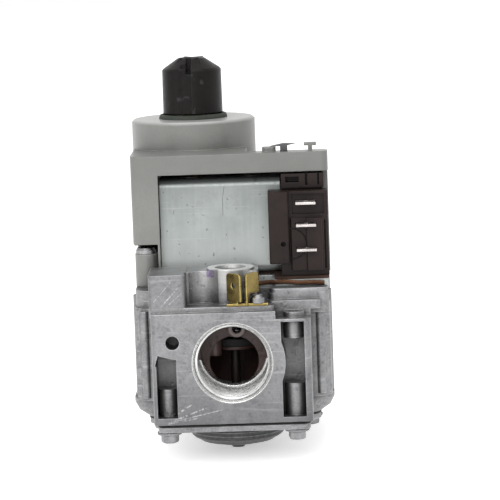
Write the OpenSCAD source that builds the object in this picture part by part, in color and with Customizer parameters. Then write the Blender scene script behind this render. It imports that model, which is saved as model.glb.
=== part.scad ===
// Combination gas control valve with two solenoid operators, a gas cock,
// a servo pressure regulator and a diaphragm main valve.
// Frame: origin at the centre of the outlet port's mouth, +Y into the valve
// towards the inlet, +Z up, millimetres.

/* [Casting] */
// Distance from the outlet port's mouth to the inlet port's mouth
port_to_port = 100; // [92:1:112]
// Half of the widest width of the casting
body_half_w = 32.9; // [30:0.1:36]
// Height of the casting's top face above the port axis
body_top = 21.9; // [20:0.1:24]
// Height of the joint between casting and bottom plate
body_floor = -20.0; // [-22:0.1:-18]
// Half width of the square port blocks
port_block_half = 25.6; // [24:0.1:28]

/* [Ports] */
// Wall radius of the 3/4 inch taper pipe thread before the thread is cut
port_r = 12.2; // [11.8:0.05:12.8]
// Length of each port's threaded wall
port_thread = 16; // [13:0.5:18]
// Radius of the chamfer at the port's mouth
mouth_r = 12.95; // [12.4:0.05:13.6]
// Wall radius of the two pressure tap holes
tap_r = 4.35; // [4:0.05:4.6]
// Wall radius of the pilot tube outlet
pilot_r = 5.0; // [4.5:0.1:5.5]

/* [Operators] */
// Position of the first valve's solenoid across the valve
first_x = -13; // [-15:0.5:-11]
// Position of the servo valve's solenoid across the valve
servo_x = 7; // [5:0.5:9]
// Depth of both solenoids behind the outlet face
coil_y = 38; // [36:0.5:40]
// Outer radius of each coil bobbin
bobbin_r = 8.3; // [8:0.1:8.5]
// Lift of the first valve
first_lift = 2.5; // [2:0.1:3]
// Lift of the servo valve
servo_lift = 1.0; // [0.6:0.1:1.4]
// Lift of the main valve
main_lift = 3.0; // [2:0.1:3.4]

/* [Cover and knob] */
// Height of the cover's hood
cover_top = 64.7; // [62:0.1:66]
// Height of the step behind the hood at the right
step_top = 61.6; // [60:0.1:62]
// Height of the cover's rear deck
deck_top = 56.0; // [54:0.1:58]
// Wall thickness of the cover
cover_wall = 2.2; // [1.6:0.1:3]
// Position of the gas cock's axis across the valve
cock_x = -11.9; // [-14:0.1:-9]
// Depth of the gas cock's axis
cock_y = 58; // [54:0.5:62]
// Radius of the round boss under the knob
boss_r = 20.7; // [18:0.1:21]
// Height of the boss above the port axis
boss_top = 74.1; // [70:0.1:75]
// Knob radius
knob_r = 9.9; // [8:0.1:11]
// Height of the knob's shoulder
knob_shoulder = 90.8; // [84:0.1:92]
// Height of the knob's peak
knob_peak = 94.4; // [90:0.1:98]

/* [Regulator] */
// Position of the regulator tower across the valve
reg_x = 18; // [16:0.5:20]
// Depth of the regulator tower
reg_y = 72; // [68:0.5:76]
// Pitch of both adjusting screws
screw_pitch = 1.0; // [0.5:0.1:1.5]

/* [Bottom] */
// Position of the diaphragm valve's axis in depth
main_y = 36; // [34:0.5:38]
// Radius of the domed cap under the bottom plate
dome_r = 15.3; // [14:0.1:17]

/* [Hidden] */
gap = 0.05;            // seam left between fixed pieces that touch
run = 0.3;             // clearance left between bodies that move
fine = 48;             // segments of an ordinary round
small = 28;            // segments of a small round
face_y = -1;           // port face: the chamfer lies in front of the mouth
back_y = port_to_port + 1;
block_y0 = 12;
block_y1 = 92;
gasket_t = 0.6;
plate_top = body_floor - gasket_t - 2 * gap;
plate_rim = -22.4;
plate_low = -26.0;
op_plate_t = 2.2;
op_top = body_top + gap + op_plate_t;
sheet_t = 0.8;
sheet_top = op_top + gap + sheet_t;
main_seat_z = 0;
first_seat_z = 12;
servo_seat_z = 13;
dome_rim_z = -30.2;
foot_half = 28.4;      // half width of the casting where the plate meets it
screw_xy = [[-21.1, 5], [20.0, 5], [-24.4, 30], [24.4, 30],
            [-24.4, 76], [24.4, 76], [-20.5, 95], [20.5, 95]];
tap_xy = [0.1, 12.7];
tap_top = 29.2;
inlet_tap_yz = [84, 2];
pilot_x = -20;
pilot_y = 82;
pilot_z = 2;
pilot_mouth = -body_half_w + 1.3;
earth_xy = [8.8, 2.6];
cover_fixings = [[-26.4, 86], [27.5, 86]];
lug_xy = [-27.7, 26.9];
lug_top = 32.6;
brown = [0.22, 0.16, 0.14];

// Rounded slab between two corners, built from two boxes and four cylinders.
module slab(lo, hi, r, fn = fine) {
  z = hi[2] - lo[2];
  translate([lo[0] + r, lo[1], lo[2]]) cube([hi[0] - lo[0] - 2 * r, hi[1] - lo[1], z]);
  translate([lo[0], lo[1] + r, lo[2]]) cube([hi[0] - lo[0], hi[1] - lo[1] - 2 * r, z]);
  for (x = [lo[0] + r, hi[0] - r], y = [lo[1] + r, hi[1] - r])
    translate([x, y, lo[2]]) cylinder(r = r, h = z, $fn = fn);
}

// Cylinder along +X from x0 to x1.
module along_x(yz, r, x0, x1, fn = fine)
  translate([x0, yz[0], yz[1]]) rotate([0, 90, 0]) cylinder(r = r, h = x1 - x0, $fn = fn);

// Plain box between two corners.
module box(lo, hi) translate(lo) cube([hi[0] - lo[0], hi[1] - lo[1], hi[2] - lo[2]]);

// Upright cylinder from z0 to z1.
module post(xy, r, z0, z1, fn = fine) translate([xy[0], xy[1], z0]) cylinder(r = r, h = z1 - z0, $fn = fn);

// Upright tube from z0 to z1.
module tube(xy, r_out, r_in, z0, z1, fn = fine) difference() {
  post(xy, r_out, z0, z1, fn);
  post(xy, r_in, z0 - 1, z1 + 1, fn);
}

// Cylinder along +Y from y0 to y1.
module along_y(xz, r, y0, y1, fn = fine)
  translate([xz[0], y0, xz[1]]) rotate([-90, 0, 0]) cylinder(r = r, h = y1 - y0, $fn = fn);

// Places its children at the first and servo solenoid axes.
module at_coils() for (x = [first_x, servo_x]) translate([x, coil_y, 0]) children();

module port_bore(inner_r, lift) {
  along_y([0, 0], port_r, -0.01, port_thread, 64);
  translate([0, face_y - 0.01, 0]) rotate([-90, 0, 0])
    cylinder(r1 = mouth_r, r2 = port_r, h = -face_y + 0.02, $fn = 64);
  along_y([0, lift], inner_r, port_thread - 0.1, 22, 64);
}

module casting_outside() {
  // main block, its upper part a little smaller, and the foot that tapers in
  slab([-body_half_w + 1.3, block_y0, body_floor + 6], [body_half_w - 1.0, block_y1, 16.4], 6.4);
  slab([-body_half_w + 1.7, block_y0 + 2, 10], [body_half_w - 1.3, block_y1, body_top], 5.5);
  slab([-body_half_w, block_y0 + 2, -15], [body_half_w - 0.4, block_y1, -13.7], 7);
  hull() {
    slab([-body_half_w, block_y0 + 2, -15.2], [body_half_w - 0.4, block_y1, -14.9], 7, 32);
    slab([-31.6, block_y0 + 2.2, -17.8], [31.2, block_y1 - 0.3, -17.6], 7, 32);
    slab([-foot_half, block_y0 + 2.6, body_floor], [foot_half - 0.3, block_y1 - 0.8, body_floor + 0.2], 7, 32);
  }
  for (x = [-body_half_w + 4.1, body_half_w - 4.0], y = [24, 80])
    post([x, y], 3.6, body_floor + 6, 19.4);
  // port blocks
  slab([-port_block_half - 0.2, face_y, -19.7], [port_block_half - 0.2, block_y0 + 6, 16.3], 2.2);
  slab([-port_block_half, block_y1 - 6, -19.7], [port_block_half, back_y, 18.4], 2.2);
  box([-22.5, face_y + 1.5, body_floor], [22.5, block_y0 + 6, -19]);
  box([-22.5, block_y1 - 6, body_floor], [22.5, back_y - 1.5, -19]);
  // upright ribs on the front corners
  for (m = [-1, 1]) {
    post([m * 28.2, 13.2], 1.5, -13, 15.5, small);
    post([m * 30.4, 16.0], 1.3, -13, 15.5, small);
  }
  // ledge over the outlet port, left block and pressure tap bosses
  slab([-16, 1.0, 15], [14.0, 20, 17.9], 1.2, small);
  slab([-26.2, 1.0, 15], [-14.2, 20, 28.6], 1.6, small);
  slab([-26.2, 8, 15], [9, 22.8, 28.4], 2, small);
  post(tap_xy, 7.6, 15, tap_top);
  along_x(inlet_tap_yz, 7.0, 26, body_half_w - 0.4);
  // shelf at the right under the connector
  slab([12, 9.5, 14], [body_half_w - 1.3, 30, 20.6], 2.2, small);
  slab([12.4, 9.5, 14], [body_half_w - 1.6, 15.0, 22.0], 2.2, small);
  slab([12, 6.9, 8], [25.4, 12, 18.5], 1.6, small);
  slab([12, 6.9, 15.6], [28.8, 12.6, 18.5], 1.6, small);
}

module casting_inside() {
  port_bore(port_r - 1.4, 0.6);
  translate([0, port_to_port, 0]) rotate([0, 0, 180]) port_bore(port_r - 1.0, 0);
  // outlet chamber under the main seat, open to the diaphragm
  post([0, main_y], 15, body_floor - 1, -3);
  along_y([0, -3], 8, 20, main_y, small);
  // seat bore and the chamber above it
  post([0, main_y], 8, -4, main_seat_z + 1);
  hull() {
    post([0, main_y], 12.5, main_seat_z, 9, 32);
    post([first_x + 3, coil_y], 8, main_seat_z, 9, 32);
  }
  // first valve: seat bore and chamber
  post([first_x, coil_y], 5, 8, first_seat_z + 1, small);
  post([first_x, coil_y], 8.6, first_seat_z, body_top + 1);
  // servo valve: orifice chamber and passages to the diaphragm
  post([servo_x, coil_y], 5.6, servo_seat_z, body_top + 1, small);
  post([servo_x, coil_y], 0.8, 11, servo_seat_z + 1, small);
  translate([servo_x - 0.5, coil_y, 11.2]) rotate([0, 90, 0]) cylinder(r = 1.2, h = 15.5, $fn = small);
  post([20.8, coil_y], 1.5, body_floor - 1, 12, small);
  // inlet chamber, rotor cavity and its two floor ports
  along_y([0, 0], 10.6, 66, port_to_port - 20);
  along_y([-6, 2], 7, 60, port_to_port - 24, small);
  post([cock_x, cock_y], 10.4, 15, body_top + 1);
  post([cock_x, cock_y + 6], 2.8, 4, 16, small);
  along_y([cock_x - 3.5, 18], 2.6, coil_y, cock_y, small);
  // inlet and outlet pressure taps
  post(tap_xy, tap_r, 13.5, tap_top + 1);
  post(tap_xy, 1.4, 8, 14, small);
  translate([tap_xy[0], tap_xy[1], tap_top - 0.8]) cylinder(r1 = tap_r, r2 = 5.2, h = 0.81, $fn = fine);
  along_x(inlet_tap_yz, tap_r, body_half_w - 12.4, body_half_w + 1);
  along_x(inlet_tap_yz, 1.4, 8, 21, small);
  // pilot gas: outlet in the left wall, passage up to the needle
  along_x([72, pilot_z], pilot_r, pilot_mouth - 2, pilot_mouth + 10);
  along_x([72, pilot_z], 4.0, pilot_mouth + 9, pilot_mouth + 12.4);
  along_x([pilot_y, 17], 1.2, pilot_x, -8, small);
  post([-9, pilot_y], 1.2, 4, 17, small);
  along_y([pilot_x, pilot_z], 1.2, 72, pilot_y, small);
  post([pilot_x, pilot_y], 3.0, 14, body_top + 1, small);
  post([pilot_x, pilot_y], 1.0, pilot_z, 15, small);
  // regulator foot
  post([reg_x, reg_y], 6.4, 16, body_top + 1);
  post([reg_x, reg_y], 1.0, 13, 17, small);
  // face details: mounting hole and two cored pockets beside the round port wall
  along_y([-19, 7], 2.2, face_y - 1, 8, small);
  difference() {
    union() {
      box([-24.4, face_y - 1, -17.4], [-18.0, 8.6, 1.6]);
      translate([-21.2, face_y - 1, 0.6]) rotate([0, 16, 0]) box([-3.2, 0, -2], [3.0, 9.6, 1.6]);
      box([15.8, face_y - 1, -18.0], [23.2, 8.6, 12.8]);
    }
    along_y([0, 0], 17, face_y - 2, 12, 64);
  }
  // lower step at the face's upper right corner
  box([14.2, face_y - 1, 13.7], [27, 6.9, 18.6]);
  box([14.2, face_y - 1, 18.5], [29.6, 9.4, 20]);
  // scooped wall between the left block and the tap boss
  post([-9.2, 4.5], 5.6, 18.0, 30);
  // screw holes in the top
  post(earth_xy, 1.3, 12, 19, small);
  for (p = cover_fixings) post(p, 1.5, body_top - 9, body_top + 1, small);
  post(lug_xy, 1.5, body_top - 9, body_top + 1, small);
}

module body_casting() color([0.66, 0.66, 0.67]) difference() {
  union() {
    difference() {
      casting_outside();
      casting_inside();
    }
    // raised seats of the main valve, the first valve and the servo orifice
    tube([0, main_y], 9, 8, main_seat_z - 0.5, main_seat_z + 0.6);
    tube([first_x, coil_y], 6, 5, first_seat_z - 0.5, first_seat_z + 0.6, small);
    // upright screw posts standing in the two face pockets
    post(screw_xy[0], 3.1, body_floor, -8.5, small);
    post(screw_xy[1], 3.5, body_floor, -7.6, small);
    post(screw_xy[1], 3.4, 7, 15.4, small);
    // post and ported boss seen inside the outlet
    post([-6.4, 24.5], 2.3, -1.5, 9.5, small);
    along_y([1.2, 7.9], 2.8, 18.5, 23, small);
  }
  along_y([1.2, 7.9], 1.5, 17, 24.5, small);
  for (p = screw_xy) post(p, 1.7, body_floor - 1, body_floor + 9, small);
  post(screw_xy[1], 1.6, 9, 19, small);
}

module inlet_screen() color([0.62, 0.63, 0.64]) {
  difference() {
    along_y([0, 0], 10.9, port_to_port - 17.4, port_to_port - 16.8);
    for (a = [0:1:18])
      rotate([0, a * 137.508, 0])
        along_y([1.2 + 2.15 * sqrt(a), 0], 0.8, port_to_port - 18, port_to_port - 16, 14);
  }
}

module screen_ring() color([0.5, 0.5, 0.52]) difference() {
  along_y([0, 0], 11.1, port_to_port - 16.75, port_to_port - 16.05);
  along_y([0, 0], 9.6, port_to_port - 18, port_to_port - 15);
  box([-1.6, port_to_port - 18, 8], [1.6, port_to_port - 15, 12]);
}

module floor_outline(z0, z1, inset = 0) {
  slab([-foot_half + inset, block_y0 + 2.6, z0], [foot_half - 0.3 - inset, block_y1 - 0.8, z1], 7);
  slab([-24.8 + inset, face_y + 1.2, z0], [24.6 - inset, back_y - 1.2, z1], 3);
}

module bottom_gasket() color([0.10, 0.10, 0.10]) difference() {
  floor_outline(plate_top + gap, body_floor - gap, 0.1);
  post([0, main_y], 21.6, -40, 0);
  for (p = screw_xy) post(p, 2.1, -40, 0, small);
  post([20.8, coil_y + 8], 2.4, -40, 0, small);
}

module bottom_plate() color([0.58, 0.58, 0.60]) difference() {
  union() {
    floor_outline(plate_rim, plate_top, 0.2);
    hull() {
      slab([-foot_half + 1.2, 16, plate_rim - 0.4], [foot_half - 1.5, 90, plate_rim + 0.2], 7, 32);
      slab([-25.8, 17.4, -24.2], [25.4, 88.6, -24], 7, 32);
      slab([-23.6, 20, plate_low], [23.2, 86, plate_low + 0.4], 7, 32);
    }
  }
  // servo chamber under the diaphragm, open to the dome
  post([0, main_y], 21.6, -21.0, 0);
  post([0, main_y], 15.2, -24.6, 0);
  post([0, main_y], 12.6, -40, 0);
  for (p = screw_xy) post(p, 1.9, -40, 0, small);
  for (p = screw_xy) post(p, 4.4, -40, plate_rim, small);
}

module bottom_dome() color([0.34, 0.34, 0.35]) difference() {
  union() {
    post([0, main_y], dome_r, dome_rim_z + 0.8, plate_low - gap, 64);
    translate([0, main_y, dome_rim_z]) cylinder(r1 = dome_r - 0.9, r2 = dome_r, h = 0.81, $fn = 64);
    translate([0, main_y, dome_rim_z - 1.3]) cylinder(r1 = 12.2, r2 = 14.0, h = 1.31, $fn = 64);
    translate([0, main_y, dome_rim_z - 2.4]) cylinder(r1 = 7.6, r2 = 11.8, h = 1.11, $fn = 64);
  }
  post([0, main_y], 12.4, dome_rim_z + 1.2, -20, 64);
}

module dome_rivet() color([0.55, 0.55, 0.57]) {
  post([0, main_y], 2.1, dome_rim_z - 4.2, dome_rim_z - 2.4 - gap, small);
}

module bottom_screws() color([0.70, 0.70, 0.70]) for (p = screw_xy) {
  difference() {
    union() {
      post(p, 4.1, plate_rim - 0.9, plate_rim - gap, small);
      post(p, 2.9, plate_rim - 4.0, plate_rim - 0.89, small);
      post(p, 1.65, plate_rim - 0.1, body_floor + 8, 16);
    }
    post(p, 1.5, plate_rim - 5, plate_rim - 2.2, 6);
  }
}

module main_diaphragm() color([0.12, 0.12, 0.12]) {
  tube([0, main_y], 21.2, 14.6, plate_top + gap - 0.3, body_floor - gap);
  difference() {
    translate([0, main_y, -24.0]) cylinder(r1 = 9.2, r2 = 14.8, h = 3.5, $fn = fine);
    translate([0, main_y, -23.4]) cylinder(r1 = 8.6, r2 = 14.2, h = 3.5, $fn = fine);
    post([0, main_y], 1.0, -30, -20, small);
  }
}

module diaphragm_plate() color([0.72, 0.72, 0.70]) {
  tube([0, main_y], 8.2, 1.62, -23.35, -22.5);
}

module main_valve_stem() color([0.75, 0.74, 0.70]) {
  post([0, main_y], 1.6, -23.3, 3.9, small);
  post([0, main_y], 3.2, -22.45, -21.6, small);
}

module main_valve_disc() color([0.10, 0.10, 0.10]) {
  tube([0, main_y], 10.0, 1.62, main_seat_z + 0.9, main_seat_z + 3.2);
}

module main_valve_spring() color([0.75, 0.75, 0.76]) tube([0, main_y], 6.4, 5.6, 3.25, 8.95, 32);

module first_valve_disc() color([0.10, 0.10, 0.10]) {
  tube([first_x, coil_y], 7.2, 1.52, first_seat_z + 0.9, first_seat_z + 3.2);
}

module first_valve_plunger() color([0.70, 0.70, 0.71]) {
  post([first_x, coil_y], 1.5, first_seat_z + 0.95, first_seat_z + 5, small);
  post([first_x, coil_y], 4.5, first_seat_z + 4.2, 40);
  tube([first_x, coil_y], 5.6, 4.4, first_seat_z + 4.2, first_seat_z + 5.0);
}

module first_valve_spring() color([0.75, 0.75, 0.76])
  tube([first_x, coil_y], 5.6, 4.8, first_seat_z + 5.05, body_top - 0.05, 32);

module servo_plunger() color([0.70, 0.70, 0.71]) {
  post([servo_x, coil_y], 4.5, servo_seat_z + 1.6, 41.5);
}

module servo_valve_tip() color([0.10, 0.10, 0.10]) {
  post([servo_x, coil_y], 1.9, servo_seat_z + 0.3, servo_seat_z + 1.55, small);
}

module servo_spring() color([0.75, 0.75, 0.76]) tube([servo_x, coil_y], 2.6, 2.0, 41.6, 44.95, 24);

module guide_tubes() color([0.80, 0.72, 0.45]) at_coils() {
  tube([0, 0], 5.1, 4.55, body_top + 0.1, 54);
}

module pole_pieces() color([0.60, 0.60, 0.62]) at_coils() {
  post([0, 0], 4.5, 45, 56.3);
}

module coil_bobbins() color(brown) at_coils() difference() {
  union() {
    post([0, 0], 6.0, sheet_top + 1.8, 54.3);
    post([0, 0], bobbin_r, sheet_top + 1.8, sheet_top + 3.2);
    post([0, 0], bobbin_r, 52.9, 54.3);
  }
  post([0, 0], 5.15, 0, 60);
}

module coil_windings() color([0.58, 0.30, 0.14]) at_coils() {
  tube([0, 0], bobbin_r - 0.5, 6.05, sheet_top + 3.25, 52.85);
}

// Bent strap around both coils: front plate, rolled top and foot.
module coil_yoke() color([0.70, 0.73, 0.72]) {
  x0 = -22.8;
  x1 = 16.8;
  y0 = 27.5;
  y1 = 48.6;
  z0 = sheet_top + gap;
  z1 = 56.2;
  t = 1.6;
  bend = 2.6;
  difference() {
    union() {
      box([x0, y0, z0 + bend], [x1, y0 + t, z1 - bend]);
      for (zz = [z0, z1 - t]) box([x0, y0 + bend, zz], [x1, y1, zz + t]);
      for (s = [[z1 - bend, 0], [z0 + bend, 1]])
        intersection() {
          translate([x0, y0 + bend, s[0]]) rotate([0, 90, 0]) difference() {
            cylinder(r = bend, h = x1 - x0, $fn = fine);
            translate([0, 0, -1]) cylinder(r = bend - t, h = x1 - x0 + 2, $fn = fine);
          }
          box([x0, y0, s[0] - (s[1] == 1 ? bend : 0)], [x1, y0 + bend, s[0] + (s[1] == 1 ? 0 : bend)]);
        }
    }
    at_coils() post([0, 0], 5.2, 20, 50);
    at_coils() post([0, 0], 4.55, 50, 60);
  }
}

module operator_plate() color([0.72, 0.74, 0.74]) difference() {
  union() {
    slab([-22.7, 26, body_top + gap], [30.2, 66, op_top], 3);
    slab([13.4, 15.2, body_top + gap], [31.6, 40, op_top], 1.5, small);
  }
  at_coils() post([0, 0], 5.15, 20, 30);
  post([cock_x, cock_y], 5.2, 20, 30);
  post([reg_x, reg_y], 9.0, 20, 30);
}

module operator_gasket() color([0.42, 0.24, 0.13]) difference() {
  union() {
    slab([-22.9, 30.4, op_top + gap], [31.2, 48.6, sheet_top], 1, small);
    slab([14.2, 15.0, op_top + gap], [31.9, 40, sheet_top], 1, small);
  }
  at_coils() post([0, 0], 5.15, 20, 30);
}

module connector_housing() color(brown) difference() {
  union() {
    slab([17.2, 24.6, sheet_top + gap], [31.0, 48.4, 57.6], 1.2, small);
    box([17.2, 22.8, 53.0], [31.0, 26, 57.6]);
  }
  box([18.6, 21, 54.8], [23.0, 26.5, 56.6]);
  box([25.0, 21, 53.8], [25.8, 25.4, 58]);
  box([29.0, 21, 53.8], [29.6, 25.4, 58]);
}

module terminal_block() color([0.27, 0.21, 0.19]) difference() {
  union() {
    slab([12.8, 17.0, sheet_top + gap], [32.1, 24.5, 52.5], 0.8, small);
    slab([12.8, 15.0, 29.4], [19.4, 18, 52.5], 0.6, small);
    slab([19.8, 15.8, 26.8], [30.6, 18, 43.9], 0.6, small);
    slab([24.8, 15.0, 26.8], [30.0, 18, 43.9], 0.6, small);
  }
  box([12, 10, 20], [16.6, 30, 28.9]);
  box([30.7, 14, 27.2], [31.2, 19, 43.0]);
  box([20.4, 14, 45.0], [31.0, 18.2, 51.6]);
  along_y([17.4, 35.6], 0.8, 14, 17.6, small);
  // round relief beside the lower blade
  translate([20.0, 14, 35.6]) rotate([-90, 0, 0]) difference() {
    cylinder(r = 5.2, h = 2.4, $fn = fine);
    translate([0, 0, -1]) cylinder(r = 4.7, h = 5, $fn = fine);
    translate([-6, -6, -1]) cube([5.6, 12, 5]);
  }
  for (z = [49.1, 41.9, 33.9]) box([21.5, 10, z - 0.5], [28.3, 23, z + 0.5]);
}

module terminal_blades() color([0.80, 0.78, 0.76]) for (z = [49.1, 41.9, 33.9]) difference() {
  union() {
    box([21.7, 11.4, z - 0.4], [28.1, 22.8, z + 0.4]);
    box([22.6, 10.6, z - 0.25], [27.2, 11.5, z + 0.25]);
  }
  post([24.9, 14.2], 0.9, z - 1, z + 1, small);
}

// Push-on tab with rounded top corners, standing across X at the origin.
module tab(z0, z1, r = 1.3) {
  box([-3.175, -0.4, z0], [3.175, 0.4, z1 - r]);
  box([-3.175 + r, -0.4, z1 - r - 0.1], [3.175 - r, 0.4, z1]);
  for (x = [-3.175 + r, 3.175 - r]) along_y([x, z1 - r], r, -0.4, 0.4, small);
}

// Twin-tab earth terminal: foot under a screw, two upright tabs turned apart.
module ground_terminal() color([0.75, 0.58, 0.20]) {
  difference() {
    box([-1.2, 0.9, 17.95], [12.0, 4.6, 18.75]);
    post(earth_xy, 1.45, 15, 20, small);
  }
  translate([1.3, 2.3, 0]) rotate([0, 0, -47]) difference() {
    union() {
      tab(19.4, 28.4);
      box([-1.7, -0.4, 18.2], [1.7, 0.4, 19.6]);
    }
    along_y([0, 24.4], 0.95, -3, 3, small);
  }
  translate([6.9, 3.0, 0]) rotate([0, 0, 52]) {
    tab(21.9, 28.4);
    box([-3.1, -0.4, 18.2], [-1.6, 0.4, 22.2]);
  }
}

module ground_screw() color([0.78, 0.78, 0.78]) difference() {
  union() {
    post(earth_xy, 2.4, 18.8, 20.5, small);
    translate([earth_xy[0], earth_xy[1], 20.49]) cylinder(r1 = 2.4, r2 = 1.5, h = 0.9, $fn = small);
    post(earth_xy, 1.25, 12.5, 18.9, small);
  }
  box([earth_xy[0] - 2.6, earth_xy[1] - 0.25, 20.5], [earth_xy[0] + 2.6, earth_xy[1] + 0.25, 22]);
}

// Bare copper earth strap from the twin-tab terminal to the coil connector.
module ground_wire() color([0.62, 0.35, 0.20]) {
  r = 0.8;
  pts = [[6.7, 5.5, 24.2], [8.9, 7.3, 24.2], [14.2, 12.2, 23.8], [30.2, 12.8, 23.0]];
  for (i = [0:2]) {
    v = pts[i + 1] - pts[i];
    d = norm(v);
    translate(pts[i]) rotate([0, acos(v[2] / d), atan2(v[1], v[0])]) cylinder(r = r, h = d, $fn = 32);
  }
  for (p = pts) translate(p) sphere(r = r + 0.05, $fn = 32);
}

module outlet_tap_plug() color([0.55, 0.55, 0.57]) difference() {
  post(tap_xy, tap_r - gap, 19.5, 27.6);
  post(tap_xy, 2.75, 24, 30, 6);
}

module inlet_tap_plug() color([0.55, 0.55, 0.57]) difference() {
  along_x(inlet_tap_yz, tap_r - gap, body_half_w - 9, body_half_w - 1.2);
  along_x(inlet_tap_yz, 2.75, body_half_w - 4.6, body_half_w, 6);
}

module top_cover() color([0.53, 0.53, 0.51]) {
  x0 = -31.8;
  x1 = 32.6;
  y0 = 23;
  y1 = 91;
  w = cover_wall;
  foot = body_top + gap;
  difference() {
    union() {
      // low rear deck, step behind the hood, hood, shoulder before the boss
      slab([x0, y0, foot], [x1, y1, deck_top], 3.0);
      slab([x0, y0, deck_top - 8], [x1, 50.5, step_top], 3.0);
      slab([x0, y0, deck_top - 8], [x1, 30, cover_top], 2.4);
      slab([x0, y0, deck_top - 8], [6, 62, cover_top], 2.4);
      post([cock_x, cock_y], boss_r, deck_top - 3, boss_top - 0.8, 72);
      translate([cock_x, cock_y, boss_top - 0.81])
        cylinder(r1 = boss_r, r2 = boss_r - 0.8, h = 0.81, $fn = 72);
    }
    // inside of the shell
    slab([x0 + w, y0 + w, foot - 1], [x1 - w, y1 - w, deck_top - w], 1.2);
    slab([x0 + w, y0 + w, 50], [x1 - w, 49, step_top - w], 1.2);
    slab([x0 + w, y0 + w, 50], [x1 - w, 28.4, cover_top - w], 1.2);
    slab([x0 + w, y0 + w, 50], [4, 60, cover_top - w], 1.2);
    post([cock_x, cock_y], boss_r - 3, 50, boss_top - 3, fine);
    // open front for the coils and the connector, open right front corner
    box([-22.9, y0 - 1, foot - 1], [x1 + 1, 40, 58.3]);
    box([x1 - 4, y0 - 1, foot - 1], [x1 + 1, 49, 58.3]);
    // notch low in the left pillar for the captive screw and its foot
    box([x0 - 1, y0 - 1, foot - 1], [-23.6, lug_xy[1] + 4.6, lug_top + 3.2]);
    // knob stem, regulator, pilot screw and the two fixing screws
    post([cock_x, cock_y], 4.2, 50, 80);
    post([reg_x, reg_y], 8.3, 50, 60);
    post([pilot_x, pilot_y], 3.8, 50, 60, small);
    for (p = cover_fixings) post(p, 2.9, 50, 60, small);
    // step low in the left pillar
    box([x0 - 1, y0 - 1, foot - 1], [x0 + 1.2, 60, 34.6]);
  }
  for (p = cover_fixings) tube(p, 3.0, 1.7, foot, 30, small);
  difference() {
    union() {
      post(lug_xy, 3.7, foot, lug_top, fine);
      box([lug_xy[0] - 2.9, lug_xy[1], foot], [lug_xy[0] + 3.7, lug_xy[1] + 7.6, lug_top]);
    }
    post(lug_xy, 1.7, foot - 1, lug_top + 1, small);
  }
  // T-shaped stub and low bump on the hood
  box([26.3, 26.8, cover_top - 0.1], [27.7, 29.2, cover_top + 2.0]);
  box([25.0, 26.8, cover_top + 1.6], [29.0, 29.2, cover_top + 2.6]);
  slab([11.3, 26.4, cover_top - 0.1], [15.8, 29.6, cover_top + 1.5], 1.4, small);
}

module cover_screws() color([0.76, 0.76, 0.76]) for (p = cover_fixings) difference() {
  union() {
    post(p, 2.6, 30.05, 32.05, small);
    post(p, 1.4, body_top - 7, 30.15, small);
  }
  box([p[0] - 3, p[1] - 0.4, 31.1], [p[0] + 3, p[1] + 0.4, 33]);
}

// Captive screw with a domed washer head, standing on the foot of the left pillar.
module pillar_screw() color([0.80, 0.80, 0.80]) {
  post(lug_xy, 3.4, lug_top + gap, lug_top + 1.2, fine);
  translate([lug_xy[0], lug_xy[1], lug_top + 1.19]) cylinder(r1 = 3.3, r2 = 2.9, h = 0.8, $fn = fine);
  translate([lug_xy[0], lug_xy[1], lug_top + 1.98]) cylinder(r1 = 2.9, r2 = 1.6, h = 0.7, $fn = fine);
  post(lug_xy, 1.4, body_top - 8, lug_top + 0.1, small);
}

// Thin pointed catch lying over the hood.
module cover_clip() color([0.30, 0.30, 0.31]) translate([0, 27.2, cover_top + gap]) {
  box([17.2, 0, 0], [19.6, 1.6, 2.0]);
  translate([0, 1.6, 0]) rotate([90, 0, 0]) linear_extrude(1.6)
    polygon([[14.0, 1.65], [18.4, 1.55], [22.4, 2.35], [18.2, 2.5]]);
}

module bezel_ring() color([0.16, 0.17, 0.15]) translate([cock_x, cock_y, boss_top + gap])
  rotate_extrude($fn = 72) polygon([[10.35, 0], [11.5, 0], [11.3, 0.8], [10.95, 1.3], [10.35, 1.4]]);

// Ribbed cap with a coned top, a flat down its front and a slot at the peak.
module knob() color([0.09, 0.085, 0.08]) difference() {
  union() {
    translate([cock_x, cock_y, 0]) rotate_extrude($fn = 72)
      polygon([[0, 75.95], [knob_r + 0.1, 75.95], [knob_r, knob_shoulder - 0.6], [knob_r - 0.5, knob_shoulder],
               [4.8, knob_peak - 0.5], [4.2, knob_peak - 0.2], [0, knob_peak - 0.2]]);
    // two raised grip ribs crossing the cone
    for (a = [38, -62]) translate([cock_x, cock_y, 0]) rotate([0, 0, a]) intersection() {
      box([-8.6, -0.45, knob_shoulder - 1], [8.6, 0.45, knob_peak]);
      translate([0, 0, knob_shoulder - 1]) cylinder(r1 = 10.2, r2 = 4.6, h = knob_peak - knob_shoulder + 1.01, $fn = fine);
    }
  }
  // pointer slot from the peak towards the front, notch beside it, flat below both
  box([cock_x - 1.66, cock_y - 12, knob_shoulder - 1.6], [cock_x + 0.15, cock_y - 2.6, knob_peak + 1]);
  box([cock_x - 3.5, cock_y - 12, knob_shoulder + 0.1], [cock_x - 1.5, cock_y - 6.2, knob_peak + 1]);
  box([cock_x - 3.5, cock_y - 12, 70], [cock_x + 0.15, cock_y - knob_r + 0.95, knob_shoulder + 4]);
  // D bore on the stem, spring pocket
  intersection() {
    post([cock_x, cock_y], 3.55, 70, 88.5);
    box([cock_x - 5, cock_y - 5, 70], [cock_x + 5, cock_y + 2.65, 90]);
  }
  post([cock_x, cock_y], 6.6, 70, 83.8);
}

module knob_spring() color([0.75, 0.75, 0.76]) tube([cock_x, cock_y], 5.6, 4.8, 77.35, 83.75, 32);

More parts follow.
